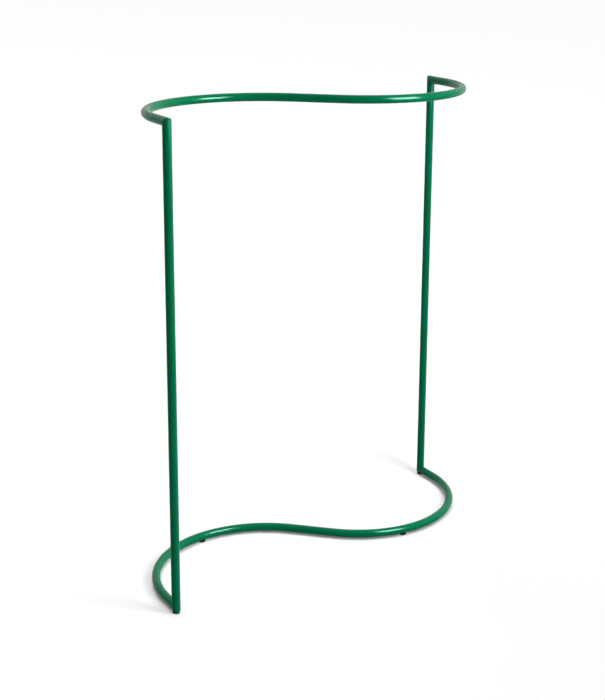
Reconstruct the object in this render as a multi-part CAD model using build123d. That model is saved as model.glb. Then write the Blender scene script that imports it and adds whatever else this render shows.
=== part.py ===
"""Free-standing garment rack: two S-shaped tube rails joined by two upright posts.

Millimetres, +Z up. The origin is on the floor, midway between the posts. X runs along the long side of
the narrowest floor strip that holds the rack, -Y is the front. The left half of each rail swings back
(+Y) from the left post, and the right half is the same shape turned half a turn.
"""

import os
from math import asin, atan2, cos, degrees, hypot, radians, sin, sqrt

from build123d import *

# ---- driving dimensions -------------------------------------------------------------------------
overall_height = 1500.0
tube_diameter = 26.9
tube_wall = 1.5
bend_radius = 344.0  # centreline radius of both bends
bend_angle = 132.3  # degrees that each bend turns
middle_run = 150.0  # straight tube between the two bends
end_run = 81.0  # straight tube from a bend to the corner's centre

elbow_leg = 60.0  # from the corner's centre to the end of each leg
elbow_clearance = 0.1  # radial, in the rail; the post's leg is a press fit
elbow_core_radius = 6.0
elbow_core_start = 15.0  # where the hollow in each leg begins, from the corner's centre
elbow_lead_in = 1.5

screw_stations = (28.0, 48.0)  # along the rail, from the corner's centre
screw_radius = 2.5
screw_length = 6.0
screw_recess = 0.4  # how far the screw's outer end sits inside the tube's surface
screw_chamfer = 0.4
screw_hole_radius = 2.75
socket_across_flats = 2.5
socket_depth = 2.4

foot_radius = 11.0
foot_clearance = 5.0  # from the floor to the underside of the base rail
foot_saddle_rise = 2.0  # how far the foot's rim climbs the tube's sides
foot_edge = 1.2
stem_radius = 4.5
stem_reach = 7.0  # how far a stem goes up past the underside of the rail
barb_overhang = 0.5
barb_height = 2.0
barb_clearance = 0.1  # above the inside of the tube's wall
left_foot_station = 558.0  # along the base rail from the left corner
right_foot_station = 631.0  # along the base rail from the right corner

# ---- worked out from them -----------------------------------------------------------------------
tube_radius = tube_diameter / 2
bore_radius = tube_radius - tube_wall
base_height = foot_clearance + tube_radius  # centreline of the base rail
top_height = overall_height - tube_radius  # centreline of the top rail

corner_along = middle_run / 2 + bend_radius * sin(radians(bend_angle)) + end_run * cos(radians(bend_angle))
corner_across = bend_radius * (1 - cos(radians(bend_angle))) + end_run * sin(radians(bend_angle))
# the rack's narrowest strip is bounded by the line that touches one bend and the far side's post
strip_along = corner_along + middle_run / 2
strip_across = corner_across + bend_radius
strip_heading = atan2(strip_across, strip_along) - asin(bend_radius / hypot(strip_along, strip_across))
middle_heading = -degrees(strip_heading)  # turns that strip onto the X axis
end_heading = middle_heading + bend_angle


def polar(length, heading):
    """A level vector of that length, at that many degrees from +X."""
    return Vector(length * cos(radians(heading)), length * sin(radians(heading)), 0)


middle_end = polar(middle_run / 2, middle_heading)
bend_centre = middle_end + polar(bend_radius, middle_heading + 90)
bend_middle = bend_centre + polar(bend_radius, middle_heading + bend_angle / 2 - 90)
bend_end = bend_centre + polar(bend_radius, end_heading - 90)
corner = bend_end + polar(end_run, end_heading)

# each side of the rack: the corner's place on the floor plan, and the way the rail leaves it
sides = {
    "left": (corner * -1, polar(1, end_heading)),
    "right": (corner, polar(-1, end_heading)),
}
# each level: the rails' height, and the way the post leaves the corner
levels = {"top": (top_height, -1), "base": (base_height, 1)}


def rail_sweep(height, section):
    """The section swept along the whole S, run on past both corners so that the mitres have tube to cut."""
    lift = Vector(0, 0, height)
    past = polar(2 * tube_radius, end_heading)
    half = [
        (middle_end, bend_middle, bend_end),
        (bend_end, corner + past),
    ]
    edges = [Line(lift - middle_end, lift + middle_end)]
    for sign in (1, -1):
        arc, run = ([lift + point * sign for point in points] for points in half)
        edges += [ThreePointArc(*arc), Line(*run)]
    path = Wire(edges)
    start = Plane(origin=path @ 0, z_dir=path % 0)
    return sweep(start * section, path=path)


def post_run(side, section):
    """The section run straight up a post's line, past both corners."""
    place = sides[side][0]
    reach = 2 * tube_radius
    start = Plane(origin=(place.X, place.Y, base_height - reach), z_dir=(0, 0, 1))
    return extrude(start * section, top_height - base_height + 2 * reach)


def mitre(shape, side, level, keep_rail):
    """The shape cut at a corner's 45 degree plane, keeping the rail's side of it or the post's."""
    place, rail_way = sides[side]
    height, post_way = levels[level]
    into_rail = (rail_way - Vector(0, 0, post_way)).normalized()
    kept = into_rail if keep_rail else into_rail * -1
    cut = Plane(origin=place + Vector(0, 0, height), z_dir=kept)
    return split(shape, bisect_by=cut, keep=Keep.TOP)


def mitre_rail(shape, level):
    for side in sides:
        shape = mitre(shape, side, level, True)
    return shape


def mitre_post(shape, side):
    for level in levels:
        shape = mitre(shape, side, level, False)
    return shape


def upright_cylinder(radius, place, bottom, top):
    return extrude(Plane(origin=(place.X, place.Y, bottom)) * Circle(radius), top - bottom)


def screw_places(side):
    place, rail_way = sides[side]
    return [place + rail_way * station for station in screw_stations]


def foot_places():
    """Each foot's place on the floor plan: one under each corner and one under each bend."""
    places = {f"{side}_corner_foot": sides[side][0] for side in sides}
    for side, sign, station in (("left", -1, left_foot_station), ("right", 1, right_foot_station)):
        turned = degrees((station - end_run) / bend_radius)
        on_bend = bend_centre + polar(bend_radius, end_heading - 90 - turned)
        places[f"{side}_bend_foot"] = on_bend * sign
    return places


def make_rail(level):
    """A bent tube with mitred ends and the screw holes in its underside; the base rail also takes the feet."""
    height = levels[level][0]
    rail = mitre_rail(rail_sweep(height, Circle(tube_radius) - Circle(bore_radius)), level)
    underside = height - tube_radius
    holes = [(place, screw_hole_radius) for side in sides for place in screw_places(side)]
    if level == "base":
        holes += [(place, stem_radius) for place in foot_places().values()]
    for place, radius in holes:
        rail -= upright_cylinder(radius, place, underside - 1, underside + tube_radius / 2)
    return rail


def make_post(side):
    return mitre_post(post_run(side, Circle(tube_radius) - Circle(bore_radius)), side)


def make_elbow(side, level):
    """A cast corner piece whose two cored legs sit inside the rail and the post."""
    place, rail_way = sides[side]
    height, post_way = levels[level]
    centre = place + Vector(0, 0, height)
    elbow = None
    for way, radius, keep_rail in (
        (rail_way, bore_radius - elbow_clearance, True),
        (Vector(0, 0, post_way), bore_radius, False),
    ):
        back = Plane(origin=centre - way * (2 * tube_radius), z_dir=way)
        leg = extrude(back * Circle(radius), elbow_leg + 2 * tube_radius)
        leg = chamfer(leg.edges().sort_by(Axis(centre, way))[-1], elbow_lead_in)
        leg = mitre(leg, side, level, keep_rail)
        core = Plane(origin=centre + way * elbow_core_start, z_dir=way)
        leg -= extrude(core * Circle(elbow_core_radius), elbow_leg)
        elbow = leg if elbow is None else elbow + leg
    for tapped in screw_places(side):
        elbow -= upright_cylinder(screw_radius, tapped, height - tube_radius, height)
    if level == "base":
        elbow -= upright_cylinder(stem_radius, place, height - tube_radius, height - tube_radius + stem_reach)
    return elbow


def make_screws(side, level):
    """Headless set screws, tapped into the elbow, whose outer ends lock in the rail's holes."""
    screw = extrude(Circle(screw_radius), screw_length)
    screw = chamfer(screw.edges().filter_by(GeomType.CIRCLE), screw_chamfer)
    screw -= extrude(RegularPolygon(socket_across_flats / 2, 6, False), socket_depth)
    outer_end = levels[level][0] - tube_radius + screw_recess
    return Compound([Pos(place.X, place.Y, outer_end) * screw for place in screw_places(side)])


def make_foot(name, place, rail_solid):
    """A round glide with a top that saddles the tube, and a stem that pushes into the tube's underside."""
    foot = upright_cylinder(foot_radius, place, 0, foot_clearance + foot_saddle_rise)
    foot = fillet(foot.edges().sort_by(Axis.Z)[0], foot_edge)
    foot -= rail_solid
    stem_top = foot_clearance + stem_reach
    stem = upright_cylinder(stem_radius, place, foot_clearance - 1, stem_top)
    stem = chamfer(stem.edges().sort_by(Axis.Z)[-1], 1.0)
    foot += stem
    if name.endswith("bend_foot"):  # nothing grips it inside the hollow tube but its own barb
        barb_radius = stem_radius + barb_overhang
        barb_bottom = base_height - sqrt(bore_radius**2 - barb_radius**2) + barb_clearance
        barb = upright_cylinder(barb_radius, place, barb_bottom, barb_bottom + barb_height)
        foot += chamfer(barb.edges().sort_by(Axis.Z)[-1], barb_overhang)
    return foot


parts = {}
for level in levels:
    parts[f"{level}_rail"] = make_rail(level)
for side in sides:
    parts[f"{side}_post"] = make_post(side)
for level in levels:
    for side in sides:
        parts[f"{level}_{side}_elbow"] = make_elbow(side, level)
        parts[f"{level}_{side}_screws"] = make_screws(side, level)
base_rod = mitre_rail(rail_sweep(base_height, Circle(tube_radius)), "base")
for name, place in foot_places().items():
    parts[name] = make_foot(name, place, base_rod)

os.makedirs("parts", exist_ok=True)
for name, shape in parts.items():
    export_step(shape, f"parts/{name}.step")
    print(f"{name:22s} solids {len(shape.solids())}  volume {shape.volume / 1000:9.2f} cm3")
print("right post at", round(corner.X, 2), round(corner.Y, 2), " middle heading", round(middle_heading, 2))
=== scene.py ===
import math

import bmesh
import bpy
from mathutils import Euler, Matrix, Vector


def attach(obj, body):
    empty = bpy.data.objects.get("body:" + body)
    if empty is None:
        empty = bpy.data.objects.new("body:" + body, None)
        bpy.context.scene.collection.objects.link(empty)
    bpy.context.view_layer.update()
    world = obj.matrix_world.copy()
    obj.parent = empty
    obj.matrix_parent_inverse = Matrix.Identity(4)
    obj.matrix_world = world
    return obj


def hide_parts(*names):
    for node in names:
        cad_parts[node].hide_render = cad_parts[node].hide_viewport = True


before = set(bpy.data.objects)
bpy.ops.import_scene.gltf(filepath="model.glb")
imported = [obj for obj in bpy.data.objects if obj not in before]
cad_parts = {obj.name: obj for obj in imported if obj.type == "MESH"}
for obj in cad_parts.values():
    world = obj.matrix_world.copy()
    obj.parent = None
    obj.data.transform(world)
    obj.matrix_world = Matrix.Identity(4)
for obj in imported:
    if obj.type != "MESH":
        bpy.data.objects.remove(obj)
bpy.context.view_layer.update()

print("frame loaded:", len(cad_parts), "nodes")

# sizes shared by the tubes, in metres and degrees
rack = {
    "height": 1.5,
    "footClearance": 0.005,  # from the floor to the underside of the base rail
    "tubeRadius": 0.01345,
    "wall": 0.0015,
    "bendRadius": 0.344,
    "bendAngle": 132.3,
    "middleRun": 0.150,  # straight tube between the two bends
    "endRun": 0.081,  # straight tube from a bend to the corner
}
baseHeight = rack["footClearance"] + rack["tubeRadius"]  # centreline of the base rail
topHeight = rack["height"] - rack["tubeRadius"]  # centreline of the top rail
upward = Vector((0, 0, 1))


def level(length, heading):
    return Vector((length * math.cos(heading), length * math.sin(heading), 0.0))


# helpers for the materials
def newMaterial(name):
    material = bpy.data.materials.new(name)
    material.use_nodes = True
    return material, material.node_tree, material.node_tree.nodes["Principled BSDF"]


def objectCoords(tree):
    return tree.nodes.new("ShaderNodeTexCoord").outputs["Object"]


def noise(tree, coords, scale, detail):
    node = tree.nodes.new("ShaderNodeTexNoise")
    node.inputs["Scale"].default_value = scale
    node.inputs["Detail"].default_value = detail
    tree.links.new(coords, node.inputs["Vector"])
    return node.outputs["Fac"]


def remap(tree, value, low, high, fromLow=0.3, fromHigh=0.7):
    # most of a noise lies between 0.3 and 0.7
    node = tree.nodes.new("ShaderNodeMapRange")
    node.inputs["From Min"].default_value = fromLow
    node.inputs["From Max"].default_value = fromHigh
    node.inputs["To Min"].default_value = low
    node.inputs["To Max"].default_value = high
    tree.links.new(value, node.inputs["Value"])
    return node.outputs["Result"]


def blendColour(tree, factor, first, second):
    # the first can be a plain colour or another node's output
    node = tree.nodes.new("ShaderNodeMix")
    node.data_type = "RGBA"
    for socket, colour in (("A", first), ("B", second)):
        target = [s for s in node.inputs if s.name == socket and s.type == "RGBA"][0]
        if isinstance(colour, tuple):
            target.default_value = (*colour, 1.0)
        else:
            tree.links.new(colour, target)
    tree.links.new(factor, [s for s in node.inputs if s.name == "Factor" and s.type == "VALUE"][0])
    return [s for s in node.outputs if s.type == "RGBA"][0]


def bump(tree, height, depth, strength, under=None):
    node = tree.nodes.new("ShaderNodeBump")
    node.inputs["Distance"].default_value = depth
    node.inputs["Strength"].default_value = strength
    tree.links.new(height, node.inputs["Height"])
    if under is not None:
        tree.links.new(under, node.inputs["Normal"])
    return node.outputs["Normal"]


# green powder coating: satin, with a fine orange peel, and painted shade along the mitred cut ends
# here and below, a pattern is (scale, detail) and a bump is (depth in metres, strength)
coating = {
    "deep": (0.0, 0.100, 0.039),
    "pale": (0.0, 0.113, 0.0445),
    # painted shade: a darker green that stands in for the shade in the mitre creases
    "seamShade": (0.0, 0.070, 0.027),
    "clouds": (7.0, 4.0),
    "roughness": (0.17, 0.22),
    "sheen": (38.0, 5.0),
    "wave": (55.0, 2.0),
    "waveBump": (0.00012, 0.35),
    "peel": (420.0, 2.0),
    "peelBump": (0.00003, 0.5),
    "glossLevel": 0.28,
    "glossTint": (0.62, 1.0, 0.96),
    "ior": 1.5,
}


def coatGreen():
    material, tree, shader = newMaterial("greenPowderCoat")
    coords = objectCoords(tree)
    clouds = remap(tree, noise(tree, coords, *coating["clouds"]), 0.0, 1.0)
    colour = blendColour(tree, clouds, coating["deep"], coating["pale"])
    seam = tree.nodes.new("ShaderNodeAttribute")
    seam.attribute_name = "seamShadeMask"
    # painted shade: the mask darkens the green along the mitre seams
    colour = blendColour(tree, seam.outputs["Fac"], colour, coating["seamShade"])
    tree.links.new(colour, shader.inputs["Base Color"])
    sheen = remap(tree, noise(tree, coords, *coating["sheen"]), *coating["roughness"])
    tree.links.new(sheen, shader.inputs["Roughness"])
    wave = bump(tree, noise(tree, coords, *coating["wave"]), *coating["waveBump"])
    peel = bump(tree, noise(tree, coords, *coating["peel"]), *coating["peelBump"], wave)
    tree.links.new(peel, shader.inputs["Normal"])
    shader.inputs["Specular IOR Level"].default_value = coating["glossLevel"]
    shader.inputs["Specular Tint"].default_value = (*coating["glossTint"], 1.0)
    shader.inputs["IOR"].default_value = coating["ior"]
    return material


# black moulded foot: matt, faintly pitted
footPlastic = {
    "dark": (0.003, 0.003, 0.0035),
    "light": (0.008, 0.008, 0.009),
    "grain": (260.0, 3.0),
    "roughness": (0.48, 0.62),
    "sheen": (500.0, 3.0),
    "pits": (1500.0, 2.0),
    "pitBump": (0.00004, 0.5),
    "metal": 0.0,
    "glossLevel": 0.25,
}

# cast elbow: grainy grey metal
casting = {
    "dark": (0.42, 0.42, 0.43),
    "light": (0.60, 0.60, 0.61),
    "grain": (90.0, 6.0),
    "roughness": (0.42, 0.62),
    "sheen": (160.0, 3.0),
    "pits": (700.0, 4.0),
    "pitBump": (0.0001, 0.6),
    "metal": 1.0,
    "glossLevel": 0.5,
}

# set screws: dark oxide on steel
setScrew = {
    "dark": (0.045, 0.045, 0.048),
    "light": (0.09, 0.09, 0.095),
    "grain": (400.0, 4.0),
    "roughness": (0.3, 0.45),
    "sheen": (900.0, 3.0),
    "pits": (2500.0, 2.0),
    "pitBump": (0.00003, 0.5),
    "metal": 1.0,
    "glossLevel": 0.5,
}


def grainy(name, look):
    material, tree, shader = newMaterial(name)
    coords = objectCoords(tree)
    grain = remap(tree, noise(tree, coords, *look["grain"]), 0.0, 1.0)
    tree.links.new(blendColour(tree, grain, look["dark"], look["light"]), shader.inputs["Base Color"])
    sheen = remap(tree, noise(tree, coords, *look["sheen"]), *look["roughness"])
    tree.links.new(sheen, shader.inputs["Roughness"])
    pits = bump(tree, noise(tree, coords, *look["pits"]), *look["pitBump"])
    tree.links.new(pits, shader.inputs["Normal"])
    shader.inputs["Metallic"].default_value = look["metal"]
    shader.inputs["Specular IOR Level"].default_value = look["glossLevel"]
    return material


greenCoat = coatGreen()
blackPlastic = grainy("blackFootPlastic", footPlastic)
elbowMetal = grainy("castElbowMetal", casting)
screwSteel = grainy("setScrewSteel", setScrew)
print("materials made")

# how finely the tubes are built, in metres and degrees
tubeBuild = {
    "around": 96,
    "stepAngle": 2.0,  # of bend between rings
    "stepRun": 0.03,  # of straight tube between rings
    "rim": 0.0006,  # rounding of the cut ends
    "rimRings": (0.0, 0.29, 1.0),  # across the rounding, from the cut to the outside
    "boreEdge": 0.00024,  # chamfer on the bore's edge
    "seamWidth": 0.0018,  # how far the painted seam shade reaches along the tube
    "pastMitre": 0.004,  # first plain ring, beyond the length that the mitre takes
}


def railPath(height):
    # (point, tangent) along the S, turned so that its narrowest floor strip lies along X
    run, radius, angle = rack["middleRun"] / 2, rack["bendRadius"], math.radians(rack["bendAngle"])
    along = run + radius * math.sin(angle) + rack["endRun"] * math.cos(angle)
    across = radius * (1 - math.cos(angle)) + rack["endRun"] * math.sin(angle)
    stripX, stripY = along + run, across + radius
    heading = math.asin(radius / math.hypot(stripX, stripY)) - math.atan2(stripY, stripX)

    half = []
    steps = max(2, round(run / tubeBuild["stepRun"]))
    for i in range(1, steps + 1):
        half.append((level(run * i / steps, heading), heading))
    bendCentre = level(run, heading) + level(radius, heading + math.pi / 2)
    steps = round(rack["bendAngle"] / tubeBuild["stepAngle"])
    for i in range(1, steps + 1):
        turned = heading + angle * i / steps
        half.append((bendCentre + level(radius, turned - math.pi / 2), turned))
    bendEnd, turned = half[-1]
    steps = max(2, round(rack["endRun"] / tubeBuild["stepRun"]))
    for i in range(1, steps + 1):
        half.append((bendEnd + level(rack["endRun"] * i / steps, turned), turned))

    points = [(-p, h) for p, h in reversed(half)] + [(Vector(), heading)] + half
    return [(p + upward * height, level(1.0, h)) for p, h in points]


def ring(station, upwards, radius, plane, trim):
    # one ring of the tube, slid along it onto the cut plane where there is one
    centre, tangent = station
    sideways = tangent.cross(upwards).normalized()
    points = []
    for i in range(tubeBuild["around"]):
        turn = 2 * math.pi * i / tubeBuild["around"]
        point = centre + (sideways * math.cos(turn) + upwards * math.sin(turn)) * radius
        if plane:
            origin, normal = plane
            point += tangent * ((origin - point).dot(normal) / tangent.dot(normal) + trim)
        points.append(point)
    return points


def tubeRings(stations, upwards, startPlane, endPlane):
    # (points, how much painted seam shade it gets), out along the outside and back along the bore
    outer, bore = rack["tubeRadius"], rack["tubeRadius"] - rack["wall"]
    rim, boreEdge = tubeBuild["rim"], tubeBuild["boreEdge"]
    clear = 2 * outer + tubeBuild["pastMitre"]
    first, last = stations[0], stations[-1]
    afterFirst = (first[0] + first[1] * clear, first[1])
    beforeLast = (last[0] - last[1] * clear, last[1])
    inside = [s for s in stations if (s[0] - first[0]).length > clear and (s[0] - last[0]).length > clear]
    plain = [afterFirst] + inside + [beforeLast]

    def made(station, radius, plane=None, trim=0.0):
        return ring(station, upwards, radius, plane, trim)

    def cutEnd(station, plane, inward):
        # from the bore, over the rounded rim, to where the painted seam shade ends
        rows = [
            (made(station, bore, plane, inward * boreEdge), 1.0),
            (made(station, bore + boreEdge, plane), 1.0),
        ]
        for across in tubeBuild["rimRings"]:
            back = rim * (1 - math.sqrt(1 - across * across))
            rows.append((made(station, outer - rim * (1 - across), plane, inward * back), 1.0))
        rows.append((made(station, outer, plane, inward * tubeBuild["seamWidth"]), 0.0))
        return rows

    rows = cutEnd(first, startPlane, 1)
    rows += [(made(s, outer), 0.0) for s in plain]
    rows += list(reversed(cutEnd(last, endPlane, -1)))
    rows += [(made(s, bore), 0.0) for s in reversed(plain)]
    return rows


def tube(name, stations, upwards, startPlane, endPlane):
    mesh = bmesh.new()
    # mask for the painted seam shade, 1 over the cut ends and the bore's edge
    seamShadeMask = mesh.verts.layers.float.new("seamShadeMask")
    grid = []
    for points, edge in tubeRings(stations, upwards, startPlane, endPlane):
        line = [mesh.verts.new(point) for point in points]
        for vert in line:
            vert[seamShadeMask] = edge
        grid.append(line)
    count = tubeBuild["around"]
    for i, line in enumerate(grid):
        follow = grid[(i + 1) % len(grid)]
        for k in range(count):
            beside = (k + 1) % count
            face = mesh.faces.new((line[k], line[beside], follow[beside], follow[k]))
            face.smooth = True
    bmesh.ops.recalc_face_normals(mesh, faces=mesh.faces)
    data = bpy.data.meshes.new(name)
    mesh.to_mesh(data)
    mesh.free()
    piece = bpy.data.objects.new(name, data)
    bpy.context.scene.collection.objects.link(piece)
    data.materials.append(greenCoat)
    return piece


def cutPlane(corner, railWay, postWay):
    # the mitre halves the corner between rail and post
    return corner, (railWay - postWay).normalized()


# plain round holes up through the rails' undersides, one for each set screw
screwHoles = {
    "stations": (0.028, 0.048),  # along the rail, from the corner's centre
    "radius": 0.00275,
    "around": 32,
    "creaseAngle": 50.0,
}


def drill(rail, path):
    depth, radius = rack["tubeRadius"], screwHoles["radius"]
    cutter = bmesh.new()
    for corner, way in ((path[0][0], path[0][1]), (path[-1][0], -path[-1][1])):
        for station in screwHoles["stations"]:
            place = corner + way * station - upward * depth
            bmesh.ops.create_cone(
                cutter, cap_ends=True, segments=screwHoles["around"], radius1=radius, radius2=radius,
                depth=depth, matrix=Matrix.Translation(place),
            )
    data = bpy.data.meshes.new("drillBits")
    cutter.to_mesh(data)
    cutter.free()
    bits = bpy.data.objects.new("drillBits", data)
    bpy.context.scene.collection.objects.link(bits)
    cut = rail.modifiers.new("drill", "BOOLEAN")
    cut.operation, cut.solver, cut.object = "DIFFERENCE", "EXACT", bits
    drilled = bpy.data.meshes.new_from_object(rail.evaluated_get(bpy.context.evaluated_depsgraph_get()))
    rail.modifiers.clear()
    rail.data = drilled
    drilled.name = rail.name
    bpy.data.objects.remove(bits)
    drilled.set_sharp_from_angle(angle=math.radians(screwHoles["creaseAngle"]))


tubes = {}
for name, height, postWay in (("topRail", topHeight, -upward), ("baseRail", baseHeight, upward)):
    path = railPath(height)
    leftCut = cutPlane(path[0][0], path[0][1], postWay)
    rightCut = cutPlane(path[-1][0], -path[-1][1], postWay)
    tubes[name] = tube(name, path, upward, leftCut, rightCut)
    drill(tubes[name], path)

for name, end in (("leftPost", 0), ("rightPost", -1)):
    low, high = railPath(baseHeight)[end], railPath(topHeight)[end]
    railWay = low[1] if end == 0 else -low[1]
    steps = round((high[0] - low[0]).length / tubeBuild["stepRun"])
    stations = [(low[0].lerp(high[0], i / steps), upward) for i in range(steps + 1)]
    lowCut, highCut = cutPlane(low[0], railWay, upward), cutPlane(high[0], railWay, -upward)
    tubes[name] = tube(name, stations, railWay, lowCut, highCut)

replaced = {
    "topRail": "top_rail",
    "baseRail": "base_rail",
    "leftPost": "left_post",
    "rightPost": "right_post",
}
for name, node in replaced.items():
    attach(tubes[name], "root")
    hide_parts(node)
print("tubes made:", ", ".join(tubes))

# the frame's own nodes get their finish, by the end of their names
finishes = {"foot": blackPlastic, "elbow": elbowMetal, "screws": screwSteel}
for name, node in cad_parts.items():
    for ending, material in finishes.items():
        if name.endswith(ending):
            node.data.materials.clear()
            node.data.materials.append(material)
print("fittings finished")

# matt white floor, with a slight glow that keeps it white far from the rack
floorLook = {
    "size": 60.0,
    "middle": (-0.4, 0.8, 0.0),  # of the floor and of its glow
    "white": 0.75,
    "roughness": 0.9,
    "glow": (0.14, 0.29),  # near the middle, and far from it
    "glowReach": (1.2, 4.5),  # metres from the middle
}


def makeFloor():
    bpy.ops.mesh.primitive_plane_add(size=floorLook["size"], location=floorLook["middle"])
    floor = bpy.context.object
    floor.name = "studioFloor"
    white = floorLook["white"]
    material, tree, shader = newMaterial("whiteFloor")
    shader.inputs["Roughness"].default_value = floorLook["roughness"]
    shader.inputs["Specular IOR Level"].default_value = 0.0
    shader.inputs["Base Color"].default_value = (white, white, white, 1.0)
    shader.inputs["Emission Color"].default_value = (1, 1, 1, 1)
    distance = tree.nodes.new("ShaderNodeVectorMath")
    distance.operation = "LENGTH"
    tree.links.new(objectCoords(tree), distance.inputs[0])
    glow = remap(tree, distance.outputs["Value"], *floorLook["glow"], *floorLook["glowReach"])
    tree.links.new(glow, shader.inputs["Emission Strength"])
    material.cycles.emission_sampling = "NONE"  # so the glow stays out of the tubes' gloss
    floor.data.materials.append(material)
    floor.visible_glossy = False
    return floor


studioFloor = makeFloor()
print("floor laid")

# a softbox to the right of the camera, a low side light and a weak overhead fill
light = {
    "boxPlace": (0.534, -2.039, 1.90),
    "boxAim": (0.0, 0.0, 0.75),
    "boxSize": (1.1, 1.5),
    "glossPower": 168.0,
    "spreadPower": 48.0,
    "floorSize": (1.05, 1.4),
    "floorPower": 9.0,
    "side": (-35.0, 12.0),  # heading and height in degrees, as for the overhead
    "sidePower": 4.3,
    "sideAngle": 50.0,
    "overhead": (0.0, 90.0),
    "overheadPower": 2.5,
    "overheadAngle": 50.0,
}


def towards(heading, height):
    # a unit vector from degrees round from +X and degrees up
    heading, height = math.radians(heading), math.radians(height)
    return level(math.cos(height), heading) + upward * math.sin(height)


def farLamp(name, way, power, angle):
    lamp = bpy.data.lights.new(name, "SUN")
    lamp.energy = power
    lamp.angle = math.radians(angle)
    lit = bpy.data.objects.new(name, lamp)
    lit.rotation_euler = towards(*way).to_track_quat("Z", "Y").to_euler()
    lit.visible_glossy = False  # only the softbox shows in the gloss
    bpy.context.scene.collection.objects.link(lit)
    return lit


def softLamp(name, size, power):
    lamp = bpy.data.lights.new(name, "AREA")
    lamp.shape = "RECTANGLE"
    lamp.size, lamp.size_y = size
    lamp.energy = power
    box = bpy.data.objects.new(name, lamp)
    box.location = light["boxPlace"]
    box.rotation_euler = (Vector(light["boxAim"]) - box.location).to_track_quat("-Z", "Y").to_euler()
    box.visible_camera = False
    bpy.context.scene.collection.objects.link(box)
    return box


def reachEvenly(box):
    # no fall-off with distance, so the floor is lit the same from front to back
    box.data.use_nodes = True
    tree = box.data.node_tree
    tree.nodes.clear()
    output, emission, falloff = [
        tree.nodes.new("ShaderNode" + kind) for kind in ("OutputLight", "Emission", "LightFalloff")
    ]
    falloff.inputs["Strength"].default_value = 1.0
    tree.links.new(falloff.outputs["Constant"], emission.inputs["Strength"])
    tree.links.new(emission.outputs[0], output.inputs["Surface"])


def shineOn(lamp, name, pieces):
    lit = bpy.data.collections.new(name)
    for piece in pieces:
        lit.objects.link(piece)
    lamp.light_linking.receiver_collection = lit


def makeLights(floor):
    # the softbox is three lamps, for the gloss, for the rack's own shading and for the floor
    rackPieces = list(tubes.values()) + list(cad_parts.values())
    softLamp("softboxGloss", light["boxSize"], light["glossPower"]).visible_diffuse = False
    spread = softLamp("softboxSpread", light["boxSize"], light["spreadPower"])
    spread.visible_glossy = False
    shineOn(spread, "rackBySoftbox", rackPieces)
    floorBox = softLamp("softboxFloor", light["floorSize"], light["floorPower"])
    floorBox.visible_glossy = False
    reachEvenly(floorBox)
    shineOn(floorBox, "floorBySoftbox", [floor])
    side = farLamp("sideLight", light["side"], light["sidePower"], light["sideAngle"])
    shineOn(side, "rackBySide", rackPieces)
    farLamp("overheadFill", light["overhead"], light["overheadPower"], light["overheadAngle"])


makeLights(studioFloor)
print("lights placed")

# the room: white to look at, nearly dark as light, and with a bright wall that only the gloss sees
room = {
    "backdrop": 1.05,
    "dome": 0.08,
    "wall": (54.0, 12.0),  # heading and height of its middle, in degrees
    "wallBright": 0.6,
    "wallDim": 0.02,  # away from the wall
    "wallEdge": (0.2, 0.75),  # cosines where it starts and where it is full
}


def plainWhite(tree, strength):
    node = tree.nodes.new("ShaderNodeBackground")
    node.inputs["Color"].default_value = (1, 1, 1, 1)
    node.inputs["Strength"].default_value = strength
    return node


def forRay(tree, ray, strength, otherwise):
    # plain white for one kind of ray, and the other shader for the rest
    mix = tree.nodes.new("ShaderNodeMixShader")
    tree.links.new(tree.nodes.new("ShaderNodeLightPath").outputs[ray], mix.inputs[0])
    tree.links.new(otherwise, mix.inputs[1])
    tree.links.new(plainWhite(tree, strength).outputs[0], mix.inputs[2])
    return mix.outputs[0]


def makeRoom():
    world = bpy.data.worlds.new("studio")
    bpy.context.scene.world = world
    world.use_nodes = True
    tree = world.node_tree
    tree.nodes.clear()
    facing = tree.nodes.new("ShaderNodeVectorMath")
    facing.operation = "DOT_PRODUCT"
    facing.inputs[1].default_value = towards(*room["wall"])
    tree.links.new(tree.nodes.new("ShaderNodeTexCoord").outputs["Generated"], facing.inputs[0])
    bright = remap(tree, facing.outputs["Value"], room["wallDim"], room["wallBright"], *room["wallEdge"])
    wall = plainWhite(tree, room["wallBright"])
    tree.links.new(bright, wall.inputs["Strength"])
    unseen = forRay(tree, "Is Diffuse Ray", room["dome"], wall.outputs[0])
    output = tree.nodes.new("ShaderNodeOutputWorld")
    tree.links.new(forRay(tree, "Is Camera Ray", room["backdrop"], unseen), output.inputs["Surface"])


makeRoom()
print("room made")

cameraSetup = {
    "place": (-2.7254, -3.4534, 2.0213),
    "turn": (75.6587, -0.2609, -37.7405),  # degrees
    "lens": 71.923,
    "sensor": 36.0,
    "shiftY": -0.10,  # looks down without tipping the uprights as far
}


def makeCamera():
    data = bpy.data.cameras.new("rackCamera")
    data.lens = cameraSetup["lens"]
    data.sensor_width = cameraSetup["sensor"]
    data.shift_y = cameraSetup["shiftY"]
    camera = bpy.data.objects.new("rackCamera", data)
    camera.location = cameraSetup["place"]
    camera.rotation_euler = Euler([math.radians(a) for a in cameraSetup["turn"]])
    bpy.context.scene.collection.objects.link(camera)
    bpy.context.scene.camera = camera


makeCamera()
bpy.context.scene.view_settings.view_transform = "Standard"
print("camera set")
